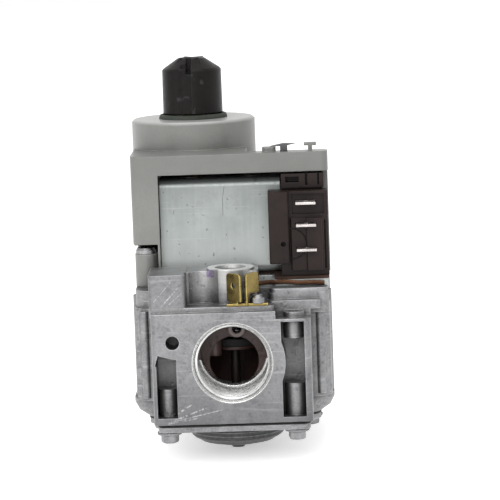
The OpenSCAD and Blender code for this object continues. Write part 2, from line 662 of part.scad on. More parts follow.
module cock_stem() color([0.72, 0.66, 0.44]) {
  post([cock_x, cock_y], 3.5, 22.3, 77.3);
  intersection() {
    post([cock_x, cock_y], 3.5, 77.2, 86.7);
    box([cock_x - 5, cock_y - 5, 70], [cock_x + 5, cock_y + 2.6, 90]);
  }
  post([cock_x, cock_y], 6.0, 76.3, 77.3);
}

module stem_gland() color([0.70, 0.58, 0.28]) tube([cock_x, cock_y], 5.15, 3.56, body_top + gap, 30);

module cock_rotor() color([0.60, 0.60, 0.63]) difference() {
  union() {
    post([cock_x, cock_y], 9.9, 15.3, 18.0);
    post([cock_x, cock_y], 3.5, 17.9, 22.25);
  }
  // kidney slot, closed over the floor port at rest and open after a quarter turn
  translate([cock_x, cock_y, 14.5]) rotate([0, 0, 150]) rotate_extrude(angle = 75, $fn = fine)
    translate([4.4, 0]) square([4.2, 4.0]);
}

module regulator_sleeve() color([0.64, 0.64, 0.65]) {
  tube([reg_x, reg_y], 8.0, 6.6, body_top + gap, 55.4);
}

module regulator_diaphragm() color([0.12, 0.12, 0.12]) post([reg_x, reg_y], 6.3, body_top - 1.5, body_top - 0.9);

module regulator_seat_button() color([0.74, 0.70, 0.56]) post([reg_x, reg_y], 5.6, body_top - 0.85, body_top + 2.2);

module regulator_spring() color([0.75, 0.75, 0.76]) tube([reg_x, reg_y], 5.0, 4.2, body_top + 2.25, 43.95, 32);

module regulator_button() color([0.74, 0.70, 0.56]) post([reg_x, reg_y], 6.2, 44, 45.6);

module regulator_screw() color([0.74, 0.66, 0.42]) difference() {
  post([reg_x, reg_y], 6.55, 45.65, 51.0);
  box([reg_x - 4.5, reg_y - 0.7, 49.4], [reg_x + 4.5, reg_y + 0.7, 52]);
}

module regulator_cap() color([0.60, 0.60, 0.61]) difference() {
  union() {
    post([reg_x, reg_y], 6.55, 52.6, 55.6);
    post([reg_x, reg_y], 8.0, 55.45, 57.6);
  }
  box([reg_x - 6, reg_y - 0.8, 56.4], [reg_x + 6, reg_y + 0.8, 59]);
}

module pilot_needle() color([0.75, 0.74, 0.70]) {
  post([pilot_x, pilot_y], 1.4, 16.6, 30, small);
  translate([pilot_x, pilot_y, 15.4]) cylinder(r1 = 0.4, r2 = 1.4, h = 1.21, $fn = small);
}

module pilot_screw() color([0.74, 0.66, 0.42]) difference() {
  post([pilot_x, pilot_y], 2.0, 30.05, 48, small);
  box([pilot_x - 3, pilot_y - 0.35, 47], [pilot_x + 3, pilot_y + 0.35, 49]);
}

module pilot_sleeve() color([0.64, 0.64, 0.65]) {
  tube([pilot_x, pilot_y], 3.4, 2.05, body_top + gap, 55.0, small);
}

module pilot_cap_screw() color([0.76, 0.76, 0.76]) difference() {
  union() {
    post([pilot_x, pilot_y], 1.95, 50.5, 55.2, small);
    post([pilot_x, pilot_y], 3.5, 55.05, 57.3, small);
  }
  box([pilot_x - 4, pilot_y - 0.45, 56.3], [pilot_x + 4, pilot_y + 0.45, 59]);
}

module pilot_filter() color([0.66, 0.55, 0.30]) translate([pilot_mouth + 10.5, 72, pilot_z]) rotate([0, 90, 0]) difference() {
  cylinder(r = 3.9, h = 1.2, $fn = small);
  for (a = [0:60:300]) rotate([0, 0, a]) translate([2.2, 0, -1]) cylinder(r = 0.7, h = 4, $fn = 14);
}

body_casting();
inlet_screen();
screen_ring();
bottom_gasket();
bottom_plate();
bottom_dome();
dome_rivet();
bottom_screws();
main_diaphragm();
diaphragm_plate();
main_valve_stem();
main_valve_disc();
main_valve_spring();
first_valve_disc();
first_valve_plunger();
first_valve_spring();
servo_plunger();
servo_valve_tip();
servo_spring();
guide_tubes();
pole_pieces();
coil_bobbins();
coil_windings();
coil_yoke();
operator_plate();
operator_gasket();
connector_housing();
terminal_block();
terminal_blades();
ground_terminal();
ground_screw();
ground_wire();
outlet_tap_plug();
inlet_tap_plug();
top_cover();
cover_screws();
pillar_screw();
cover_clip();
bezel_ring();
knob();
knob_spring();
cock_stem();
stem_gland();
cock_rotor();
regulator_sleeve();
regulator_diaphragm();
regulator_seat_button();
regulator_spring();
regulator_button();
regulator_screw();
regulator_cap();
pilot_needle();
pilot_screw();
pilot_sleeve();
pilot_cap_screw();
pilot_filter();
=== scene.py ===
# %% [markdown]
# # A combination gas valve
# The valve is a die-cast aluminium block between two pipe ports. On top it
# carries two solenoid coils in a bent zinc-plated strap, a brown terminal block
# with three push-on blades, a grey cover and a black turn knob. The solid parts
# come from the CAD frame. This script gives each one its finish and makes the
# pieces that need finer surfaces: pipe threads, wound springs, lobed screws,
# stranded wire, coil windings, a woven screen and a squeezed gasket. Blender
# works in metres, so sizes below are in millimetres times `MM`.

import math

import bmesh
import bpy
import numpy as np
from mathutils import Matrix, Vector


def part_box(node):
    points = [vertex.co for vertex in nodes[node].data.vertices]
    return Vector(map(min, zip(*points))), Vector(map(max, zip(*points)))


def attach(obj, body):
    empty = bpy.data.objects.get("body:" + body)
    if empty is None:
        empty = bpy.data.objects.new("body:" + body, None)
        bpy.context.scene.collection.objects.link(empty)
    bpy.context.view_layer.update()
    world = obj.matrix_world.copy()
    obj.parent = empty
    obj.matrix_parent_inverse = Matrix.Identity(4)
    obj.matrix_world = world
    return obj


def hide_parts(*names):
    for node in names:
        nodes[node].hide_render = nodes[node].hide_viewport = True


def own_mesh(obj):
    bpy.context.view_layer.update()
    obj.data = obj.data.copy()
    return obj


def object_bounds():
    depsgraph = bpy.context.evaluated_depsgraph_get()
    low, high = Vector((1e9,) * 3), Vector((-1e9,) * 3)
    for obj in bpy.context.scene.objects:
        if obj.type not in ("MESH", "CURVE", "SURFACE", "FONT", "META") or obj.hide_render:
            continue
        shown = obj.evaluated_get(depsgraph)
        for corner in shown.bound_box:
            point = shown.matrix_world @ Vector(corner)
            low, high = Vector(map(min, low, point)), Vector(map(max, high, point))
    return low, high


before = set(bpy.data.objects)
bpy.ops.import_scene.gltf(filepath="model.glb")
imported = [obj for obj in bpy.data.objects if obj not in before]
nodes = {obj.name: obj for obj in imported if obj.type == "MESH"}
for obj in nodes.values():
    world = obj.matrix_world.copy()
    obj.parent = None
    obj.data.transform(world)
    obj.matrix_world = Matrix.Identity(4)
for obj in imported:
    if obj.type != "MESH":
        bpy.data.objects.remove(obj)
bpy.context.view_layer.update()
MM = 0.001

# places in the valve, in millimetres: origin at the outlet mouth, +Y inwards
INLET_MOUTH_Y = 100
THREAD_END = 15.9        # the stained passage, with painted shade, starts here, behind the thread
BORE_END = 21.6          # at the bottom the clean wall reaches this far
CUT_R = 13.0             # the machined mouths lie inside this radius
PASSAGE_R = 15.2         # the stained passage, with painted shade, lies inside this one
TAP_AXIS, TAP_TOP = (0.1, 12.7), 29.2
PORTED_BOSS = (1.2, 18.6, 7.9)
PASSAGE_POST = (-6.4, 24.5)
MAIN_AXIS_Y = 36
COIL_XS, COIL_Y = (-13, 7), 38
FACE_FOOT_Z, BLOCK_FOOT_Z = -20, 18
BOSS_CHAMFER_Z, BOSS_TOP_Z = 73.2, 74.0


# %% [markdown]
# ## Camera
# The valve is seen from its outlet end, a little from above, with a long lens
# that keeps the parallel edges nearly parallel. The camera leans by two degrees.
# Its place is worked out from the point it looks at, a distance and three angles.

# %% Camera
AZIMUTH, ELEVATION, LEAN = (math.radians(a) for a in (1.2, 7.5, 2.0))
AIM = Vector((5.81, 49.48, 29.58)) * MM
DISTANCE = 954 * MM
LENS = 204.8

back = Vector((math.sin(AZIMUTH) * math.cos(ELEVATION),
               -math.cos(AZIMUTH) * math.cos(ELEVATION), math.sin(ELEVATION)))
level_right = (-back).cross(Vector((0, 0, 1))).normalized()
level_up = level_right.cross(-back)
right = level_right * math.cos(LEAN) - level_up * math.sin(LEAN)
up = level_up * math.cos(LEAN) + level_right * math.sin(LEAN)
place = AIM + back * DISTANCE

lens_data = bpy.data.cameras.new("camera")
lens_data.lens = LENS
lens_data.sensor_width = 36
lens_data.clip_start, lens_data.clip_end = 0.01, 50
camera = bpy.data.objects.new("camera", lens_data)
bpy.context.collection.objects.link(camera)
camera.matrix_world = Matrix((
    (right.x, up.x, back.x, place.x),
    (right.y, up.y, back.y, place.y),
    (right.z, up.z, back.z, place.z),
    (0, 0, 0, 1)))
bpy.context.scene.camera = camera
print("camera at", [round(v, 3) for v in place])


# %% [markdown]
# ## Light and floor
# A product table: a bright sky all round, one wide soft lamp in front and a
# little above, and weaker ones from the top and the left for the highlights on
# metal. The floor is a pale sheet just under the lowest screw.

# %% World
world = bpy.data.worlds.new("studio")
bpy.context.scene.world = world
world.use_nodes = True
sky = world.node_tree.nodes["Background"]
sky.inputs["Color"].default_value = (1.0, 1.0, 1.0, 1)
sky.inputs["Strength"].default_value = 1.0
bpy.context.scene.view_settings.view_transform = "Standard"


# %% Lamps
def lamp(name, place_mm, aim_mm, width_mm, height_mm, watts):
    """Rectangular area lamp at place, turned to face aim."""
    data = bpy.data.lights.new(name, "AREA")
    data.shape = "RECTANGLE"
    data.size, data.size_y = width_mm * MM, height_mm * MM
    data.energy = watts
    lamp_object = bpy.data.objects.new(name, data)
    bpy.context.collection.objects.link(lamp_object)
    lamp_object.location = Vector(place_mm) * MM
    towards = (Vector(aim_mm) - Vector(place_mm)).normalized()
    lamp_object.rotation_mode = "QUATERNION"
    lamp_object.rotation_quaternion = towards.to_track_quat("-Z", "Y")


lamp("front lamp", (-160, -760, 380), (0, 20, 20), 620, 460, 4.6)
lamp("top lamp", (-40, -60, 640), (0, 40, 20), 520, 420, 1.4)
lamp("left lamp", (-620, -260, 240), (0, 40, 20), 300, 520, 0.45)


# %% [markdown]
# ## Mesh helpers
# Every new piece is made of sheets of points with two parameters, joined by
# quads. `piece` takes each sheet as a `rows x columns x 3` array; each direction
# may close on itself. `turned` spins a profile round an axis, `carried` moves
# a round section along a path.

# %% Grid to mesh
WELD = 1e-6              # in metres


def quads(rows, columns, close_rows, close_columns):
    """Corner numbers of every quad of a grid; a closed direction wraps to its start."""
    i = np.arange(rows if close_rows else rows - 1)
    j = np.arange(columns if close_columns else columns - 1)
    i, j = (a.ravel() for a in np.meshgrid(i, j, indexing="ij"))
    i2, j2 = (i + 1) % rows, (j + 1) % columns
    return np.stack([i * columns + j, i2 * columns + j, i2 * columns + j2, i * columns + j2], 1)


def piece(name, sheets, finish):
    """One smooth object from several sheets, each (points in mm, close rows, close columns).

    Points closer than WELD become one, which closes seams and poles, and the
    faces are then turned outwards."""
    points, faces, start = [], [], 0
    for grid, close_rows, close_columns in sheets:
        rows, columns = grid.shape[:2]
        points.append(grid.reshape(-1, 3) * MM)
        faces.append(quads(rows, columns, close_rows, close_columns) + start)
        start += rows * columns
    points, faces = np.concatenate(points), np.concatenate(faces)
    mesh = bpy.data.meshes.new(name)
    mesh.from_pydata(points.tolist(), [], faces.tolist())
    shape = bmesh.new()
    shape.from_mesh(mesh)
    bmesh.ops.remove_doubles(shape, verts=shape.verts, dist=WELD)
    bmesh.ops.dissolve_degenerate(shape, edges=shape.edges, dist=WELD * 0.1)
    bmesh.ops.recalc_face_normals(shape, faces=shape.faces)
    shape.to_mesh(mesh)
    shape.free()
    mesh.polygons.foreach_set("use_smooth", [True] * len(mesh.polygons))
    mesh.materials.append(finish)
    made = bpy.data.objects.new(name, mesh)
    bpy.context.collection.objects.link(made)
    print(f"{name}: {len(mesh.polygons)} faces")
    return made


# %% Turned and carried shapes
def axes(direction):
    """Three unit vectors: two across the axis and the axis itself."""
    w = np.array(direction, float)
    w /= np.linalg.norm(w)
    u = np.cross(w, (0, 0, 1.0)) if abs(w[2]) < 0.9 else np.array((1.0, 0, 0))
    u /= np.linalg.norm(u)
    return u, np.cross(w, u), w


def turned(profile, centre, direction, steps, wobble=None):
    """Profile (radius, height) spun round an axis: point = centre + r cos t u + r sin t v + h w.

    wobble(t, r, h) may return a changed radius and height for each point."""
    u, v, w = axes(direction)
    r, h = (np.asarray(c, float) for c in np.array(profile, float).T)
    t = np.linspace(0, 2 * math.pi, steps, endpoint=False)[:, None]
    r, h = np.broadcast_to(r, (steps, r.size)), np.broadcast_to(h, (steps, h.size))
    if wobble is not None:
        r, h = wobble(np.broadcast_to(t, r.shape), r, h)
    grid = (np.array(centre, float) + (r * np.cos(t))[..., None] * u
            + (r * np.sin(t))[..., None] * v + h[..., None] * w)
    return grid, True, False


def carried(path, radius, sides, hint=(0, 0, 1.0)):
    """Round section carried along a path: point = path + radius (cos a n + sin a b).

    The tangent is the central difference of the path, n is across tangent and
    hint, b is across both. The ends are drawn in to a point to close them."""
    path = np.asarray(path, float)
    tangent = np.gradient(path, axis=0)
    tangent /= np.linalg.norm(tangent, axis=1, keepdims=True)
    n = np.cross(tangent, np.broadcast_to(np.array(hint, float), path.shape))
    n /= np.linalg.norm(n, axis=1, keepdims=True)
    b = np.cross(tangent, n)
    a = np.linspace(0, 2 * math.pi, sides, endpoint=False)
    r = np.broadcast_to(np.asarray(radius, float), (len(path),))[:, None, None]
    ring = np.cos(a)[None, :, None] * n[:, None] + np.sin(a)[None, :, None] * b[:, None]
    grid = path[:, None] + r * ring
    first = np.broadcast_to(path[0], (1, sides, 3))
    last = np.broadcast_to(path[-1], (1, sides, 3))
    return np.concatenate([first, grid, last]), False, True


def rounded_profile(points, radius, steps):
    """A profile's inner corners replaced by short curves: a quadratic arc through each corner."""
    points = np.array(points, float)
    out = [points[0]]
    for before, corner, after in zip(points[:-2], points[1:-1], points[2:]):
        d0, d1 = before - corner, after - corner
        l0, l1 = np.linalg.norm(d0), np.linalg.norm(d1)
        cut = min(radius, 0.45 * l0, 0.45 * l1)
        start, end = corner + d0 / l0 * cut, corner + d1 / l1 * cut
        s = np.linspace(0, 1, steps)[:, None]
        out.extend((1 - s) ** 2 * start + 2 * s * (1 - s) * corner + s ** 2 * end)
    out.append(points[-1])
    return np.array(out)


# %% [markdown]
# ## Finishes
# A finish is a small node tree on Object coordinates, so the grain keeps its
# real size: a noise of 300 per metre has features of about three millimetres.
# Each finish mixes a broad and a fine noise into colour, roughness and bump.
# The Bevel node rounds the sharp CAD edges in the shading, and Ambient
# Occlusion darkens the recesses as painted shade.

# %% Node helpers
EDGE_SAMPLES = 4


def add(tree, kind, sockets=None, **settings):
    """A node with its settings; a socket value that is itself a socket is linked."""
    made = tree.nodes.new("ShaderNode" + kind)
    for key, value in settings.items():
        setattr(made, key, value)
    for key, value in (sockets or {}).items():
        if isinstance(value, bpy.types.NodeSocket):
            tree.links.new(value, made.inputs[key])
        else:
            made.inputs[key].default_value = value
    return made


def noise(tree, where, scale, detail=4.0, rough=0.55, distortion=0.0):
    """Cloud noise about one half; scale is in features per metre."""
    return add(tree, "TexNoise", {"Vector": where, "Scale": scale, "Detail": detail,
                                  "Roughness": rough, "Distortion": distortion}).outputs["Fac"]


def ramp(tree, value, low, high, from_low=0.0, from_high=1.0):
    """Linear map of a value from one range to another, clamped."""
    return add(tree, "MapRange", {"Value": value, "From Min": low, "From Max": high,
                                  "To Min": from_low, "To Max": from_high}).outputs["Result"]


def maths(tree, operation, a, b=0.0):
    """One arithmetic step on sockets or numbers."""
    return add(tree, "Math", {0: a, 1: b}, operation=operation).outputs[0]


def mixed(tree, factor, a, b):
    """Colour mix; a colour may be a socket or three numbers."""
    made = add(tree, "Mix", data_type="RGBA", blend_type="MIX", clamp_factor=True)
    for number, value in ((0, factor), (6, a), (7, b)):
        if isinstance(value, bpy.types.NodeSocket):
            tree.links.new(value, made.inputs[number])
        else:
            made.inputs[number].default_value = (*value, 1.0) if number else value
    return made.outputs[2]


def finish_base(name):
    """Empty node material: its tree, its shader and the Object coordinates."""
    material = bpy.data.materials.new(name)
    material.use_nodes = True
    tree = material.node_tree
    where = add(tree, "TexCoord").outputs["Object"]
    return material, tree, tree.nodes["Principled BSDF"], where


def relief(tree, heights, edge):
    """Bump from (height socket, strength, distance in mm) rows; edges are rounded by edge mm, if any."""
    normal = None
    if edge:
        normal = add(tree, "Bevel", {"Radius": edge * MM}, samples=EDGE_SAMPLES).outputs["Normal"]
    for height, strength, distance in heights:
        sockets = {"Height": height, "Strength": strength, "Distance": distance * MM}
        if normal is not None:
            sockets["Normal"] = normal
        normal = add(tree, "Bump", sockets).outputs["Normal"]
    return normal


def painted_recess_shade(tree, colour, dark, reach=6.0, amount=0.8):
    """Painted shade: colour darkened where the surface is closed in within reach millimetres."""
    open_air = add(tree, "AmbientOcclusion", {"Distance": reach * MM}, samples=EDGE_SAMPLES).outputs["AO"]
    closed = ramp(tree, open_air, 0.25, 0.85, amount, 0.0)
    return mixed(tree, closed, colour, dark)


def on_edges(tree, reach, amount=1.0):
    """Mask of the edges: the rounded normal turns away from the flat one only there."""
    rounded = add(tree, "Bevel", {"Radius": reach * MM}, samples=EDGE_SAMPLES).outputs["Normal"]
    flat = add(tree, "NewGeometry").outputs["Normal"]
    facing = add(tree, "VectorMath", {0: rounded, 1: flat}, operation="DOT_PRODUCT").outputs["Value"]
    return ramp(tree, facing, 0.80, 0.97, amount, 0.0)


def off_point(tree, where, point):
    """Distance of each place from a point given in millimetres."""
    return add(tree, "VectorMath", {0: where, 1: tuple(v * MM for v in point)},
               operation="DISTANCE").outputs["Value"]


def near_line(tree, x, z, start, end, width):
    """Mask of a straight line in the XZ plane: one on the segment, nothing beyond width.

    The point is split along the segment's direction and across it."""
    (x0, z0), (x1, z1) = start, end
    length = math.hypot(x1 - x0, z1 - z0)
    dx, dz = (x1 - x0) / length, (z1 - z0) / length
    px = maths(tree, "SUBTRACT", x, x0 * MM)
    pz = maths(tree, "SUBTRACT", z, z0 * MM)
    along = maths(tree, "ADD", maths(tree, "MULTIPLY", px, dx), maths(tree, "MULTIPLY", pz, dz))
    across = maths(tree, "SUBTRACT", maths(tree, "MULTIPLY", pz, dx), maths(tree, "MULTIPLY", px, dz))
    beyond = maths(tree, "ABSOLUTE", maths(tree, "SUBTRACT", along, length / 2 * MM))
    ends = ramp(tree, beyond, (length / 2 - 1.0) * MM, length / 2 * MM, 1.0, 0.0)
    beside = ramp(tree, maths(tree, "ABSOLUTE", across), width * 0.35 * MM, width * MM, 1.0, 0.0)
    return maths(tree, "MULTIPLY", ends, beside)


# %% A general finish
def plain_finish(name, dark, light, metallic, rough, grain, bump, edge,
                 recess=None, patch=0.35, speck=None, coat=0.0, edge_wear_and_glint=None, specular=None):
    """Finish of one stuff: colour wanders between dark and light with a broad and a
    fine noise, roughness wanders about its middle value, and fine noise gives relief.
    grain is in features per metre and edge is the rounding of edges in mm. A recess
    colour is painted shade in hollows, specks lie anywhere, and an edge colour is wear and painted highlight on edges."""
    material, tree, shader, where = finish_base(name)
    broad = noise(tree, where, grain / 9, 3)
    fine = noise(tree, where, grain, 5)
    blend = maths(tree, "ADD", maths(tree, "MULTIPLY", broad, 1 - patch), maths(tree, "MULTIPLY", fine, patch))
    colour = mixed(tree, ramp(tree, blend, 0.3, 0.7), dark, light)
    if speck is not None:
        spots = ramp(tree, noise(tree, where, grain * 0.55, 2, 0.4), 0.66, 0.72)
        colour = mixed(tree, spots, colour, speck)
    # painted shade: the recess colour darkens the hollows
    if recess is not None:
        colour = painted_recess_shade(tree, colour, recess)
    # edge colour: wear together with a painted highlight
    if edge_wear_and_glint is not None:
        worn_and_glinting_edges = maths(tree, "MULTIPLY", on_edges(tree, edge), ramp(tree, broad, 0.3, 0.6, 0.2, 0.9))
        colour = mixed(tree, worn_and_glinting_edges, colour, edge_wear_and_glint)
    if specular is not None:
        shader.inputs["Specular IOR Level"].default_value = specular
    tree.links.new(colour, shader.inputs["Base Color"])
    shader.inputs["Metallic"].default_value = metallic
    tree.links.new(ramp(tree, fine, 0.3, 0.7, rough - 0.08, rough + 0.08), shader.inputs["Roughness"])
    if coat:
        shader.inputs["Coat Weight"].default_value = coat
        shader.inputs["Coat Roughness"].default_value = 0.12
    tree.links.new(relief(tree, [(fine, bump, 0.15)], edge), shader.inputs["Normal"])
    return material


# %% [markdown]
# ## Cast aluminium
# Die casting leaves a grey satin skin with flow marks and small pits. The pipe
# ports are cut after casting, so there the metal is bright. The passages
# behind the thread are stained brown by sealant and gas residue, and painted
# shade darkens them further in. A radius from the port axis tells the three
# zones apart.

# %% Cast aluminium finish
INK_X, INK_Z = -6.4, 27.6
CAST_DARK, CAST_LIGHT = (0.115, 0.115, 0.119), (0.225, 0.225, 0.229)
# scratches across the outlet face, then across the left block: start, end and half width
KNOCKS = (((-21.5, -18.9), (-3.0, -14.9), 0.22), ((-19.8, -18.3), (-8.5, -14.2), 0.30),
          ((-20.6, -17.6), (-14.6, -13.6), 0.35), ((-18.0, -16.0), (-13.2, -12.9), 0.25),
          ((-22.0, -19.3), (-10.0, -17.3), 0.16),
          ((-22.5, 18.2), (-14.9, 26.4), 0.22), ((-20.6, 18.4), (-15.2, 23.0), 0.16),
          ((-25.0, 19.6), (-18.4, 27.0), 0.14))


def cast_finish(name):
    """Grey cast skin, bright within the machined mouths, brown deep inside the ports."""
    material, tree, shader, where = finish_base(name)
    split = add(tree, "SeparateXYZ", {"Vector": where})
    x, y, z = (split.outputs[k] for k in "XYZ")
    flow = noise(tree, where, 85, 4, 0.6, 1.2)
    grain = noise(tree, where, 1400, 5, 0.6)
    pits = ramp(tree, noise(tree, where, 520, 2, 0.4), 0.30, 0.37)
    skin = mixed(tree, ramp(tree, flow, 0.3, 0.7), CAST_DARK, CAST_LIGHT)
    skin = mixed(tree, ramp(tree, grain, 0.35, 0.65, 0.0, 0.30), skin, (0.40, 0.40, 0.405))
    skin = mixed(tree, ramp(tree, pits, 0, 1, 0.5, 0.0), skin, (0.10, 0.10, 0.105))
    # long rubbed streaks, mostly level; bright edges, partly wear and partly painted highlight; painted shade in
    # recesses
    streaked = add(tree, "Mapping", {"Vector": where, "Rotation": (0.0, 0.55, 0.0), "Scale": (45.0, 300.0, 1100.0)})
    streak = ramp(tree, noise(tree, streaked.outputs["Vector"], 1.0, 3, 0.55), 0.58, 0.72, 0.0, 0.45)
    skin = mixed(tree, streak, skin, (0.42, 0.42, 0.43))
    worn_and_glinting_edges = maths(tree, "MULTIPLY", on_edges(tree, 0.6), ramp(tree, flow, 0.35, 0.6, 0.25, 0.9))
    skin = mixed(tree, worn_and_glinting_edges, skin, (0.62, 0.62, 0.63))
    skin = painted_recess_shade(tree, skin, (0.045, 0.043, 0.042), 7.0, 0.9)
    # painted shade: the outlet face darkens towards its foot, the block over it is darkened all over;
    # painted light brightens round the tap boss, and its machined top gets a painted highlight
    face = maths(tree, "MULTIPLY", maths(tree, "LESS_THAN", y, 0.15 * MM), ramp(tree, z, -19 * MM, 4 * MM, 0.65, 0.16))
    face = maths(tree, "MULTIPLY", face, maths(tree, "GREATER_THAN", z, FACE_FOOT_Z * MM))
    block = maths(tree, "MULTIPLY", maths(tree, "LESS_THAN", y, 2.5 * MM),
                  maths(tree, "GREATER_THAN", z, BLOCK_FOOT_Z * MM))
    face = maths(tree, "MAXIMUM", face, maths(tree, "MULTIPLY", block, 0.35))
    skin = mixed(tree, face, skin, (0.085, 0.085, 0.090))
    off_tap = off_point(tree, where, (*TAP_AXIS, TAP_TOP))
    skin = mixed(tree, ramp(tree, off_tap, 8.5 * MM, 11.0 * MM, 0.5, 0.0), skin, (0.46, 0.455, 0.44))
    on_top = ramp(tree, z, (TAP_TOP - 0.2) * MM, (TAP_TOP - 0.1) * MM, 0.0, 0.8)
    skin = mixed(tree, on_top, skin, (0.66, 0.66, 0.65))

    radius = maths(tree, "SQRT", maths(tree, "ADD", maths(tree, "MULTIPLY", x, x), maths(tree, "MULTIPLY", z, z)))
    in_bore = maths(tree, "LESS_THAN", radius, CUT_R * MM)
    front = maths(tree, "LESS_THAN", y, 22 * MM)
    rear = maths(tree, "GREATER_THAN", y, (INLET_MOUTH_Y - 16) * MM)
    cut = maths(tree, "MULTIPLY", in_bore, maths(tree, "ADD", front, rear))
    inside = maths(tree, "LESS_THAN", radius, PASSAGE_R * MM)
    stained_from = ramp(tree, z, -5 * MM, -1.5 * MM, BORE_END * MM, THREAD_END * MM)
    between = maths(tree, "MULTIPLY", maths(tree, "GREATER_THAN", y, stained_from),
                    maths(tree, "LESS_THAN", y, (INLET_MOUTH_Y - THREAD_END) * MM))
    deep = maths(tree, "MULTIPLY", inside, between)
    # brown stain with painted shade, darker further into the bore
    stain_and_shade = mixed(tree, ramp(tree, flow, 0.35, 0.65), (0.034, 0.014, 0.012), (0.070, 0.036, 0.031))
    stain_and_shade = mixed(tree, ramp(tree, y, 17.5 * MM, 22 * MM, 0.15, 0.75), stain_and_shade, (0.036, 0.015, 0.013))
    colour = mixed(tree, cut, skin, (0.62, 0.62, 0.61))
    colour = mixed(tree, deep, colour, stain_and_shade)
    # the ported boss above the seat stays paler than the stained passage
    from_boss = off_point(tree, where, PORTED_BOSS)
    colour = mixed(tree, ramp(tree, from_boss, 2.6 * MM, 3.1 * MM, 0.8, 0.0), colour, (0.13, 0.10, 0.09))
    level = add(tree, "CombineXYZ", {"X": x, "Y": y}).outputs["Vector"]
    off_post = off_point(tree, level, (*PASSAGE_POST, 0.0))
    colour = mixed(tree, ramp(tree, off_post, 2.4 * MM, 2.6 * MM, 0.55, 0.0), colour, (0.085, 0.055, 0.048))
    # ink mark on the left of the pressure tap boss
    ink_x = ramp(tree, maths(tree, "ABSOLUTE", maths(tree, "SUBTRACT", x, INK_X * MM)), 1.1 * MM, 1.5 * MM, 1.0, 0.0)
    ink_z = ramp(tree, maths(tree, "ABSOLUTE", maths(tree, "SUBTRACT", z, INK_Z * MM)), 0.9 * MM, 1.4 * MM, 1.0, 0.0)
    ink = maths(tree, "MULTIPLY", maths(tree, "MULTIPLY", ink_x, ink_z), ramp(tree, grain, 0.35, 0.6, 0.15, 0.8))
    colour = mixed(tree, ink, colour, (0.12, 0.06, 0.22))
    # knocks on the outlet face: bright lines, each a straight segment
    knocks = 0.0
    for start, end, width in KNOCKS:
        knocks = maths(tree, "MAXIMUM", knocks, near_line(tree, x, z, start, end, width))
    knocks = maths(tree, "MULTIPLY", knocks, maths(tree, "LESS_THAN", y, 3.0 * MM))
    knocks = maths(tree, "MULTIPLY", knocks, ramp(tree, grain, 0.42, 0.62, 0.0, 0.45))
    colour = mixed(tree, knocks, colour, (0.60, 0.60, 0.60))
    tree.links.new(colour, shader.inputs["Base Color"])
    tree.links.new(ramp(tree, deep, 0, 1, 0.80, 0.1), shader.inputs["Metallic"])
    rough = ramp(tree, grain, 0.3, 0.7, 0.36, 0.52)
    rough = maths(tree, "SUBTRACT", rough, maths(tree, "MULTIPLY", cut, 0.2))
    tree.links.new(rough, shader.inputs["Roughness"])
    # the cut bores are smooth
    rows = [(flow, 0.35, 0.5), (grain, 0.32, 0.12), (pits, 0.5, 0.12), (knocks, 0.4, 0.10)]
    rows = [(height, ramp(tree, cut, 0, 1, strength, strength / 8), reach)
            for height, strength, reach in rows]
    normal = relief(tree, rows, 0.6)
    tree.links.new(normal, shader.inputs["Normal"])
    return material


cast = cast_finish("cast aluminium")
cast_small = plain_finish("turned aluminium", (0.26, 0.26, 0.265), (0.40, 0.40, 0.405), 0.85, 0.36, 700, 0.15, 0.3,
                          recess=(0.06, 0.06, 0.06), edge_wear_and_glint=(0.6, 0.6, 0.6))


# %% [markdown]
# ## Sheet steel, springs and brass
# The coil strap is zinc plated: pale with a cool green-blue cast, fine rolling
# lines, small dark specks and a few rubbed scratches, with painted light and shade
# along its height and painted highlights on its bends. Brass dulls to olive in the
# flats and stays yellow on its cut edges, worn and with a painted highlight.

# %% Zinc-plated strap
# a bent seam line and one dark speck: start, end and half width
SEAM_AND_SPECK = (((-1.4, 54.2), (-2.1, 50.0), 0.16), ((-2.1, 50.8), (-2.2, 43.5), 0.16),
                  ((-16.9, 45.8), (-16.3, 45.7), 0.28))


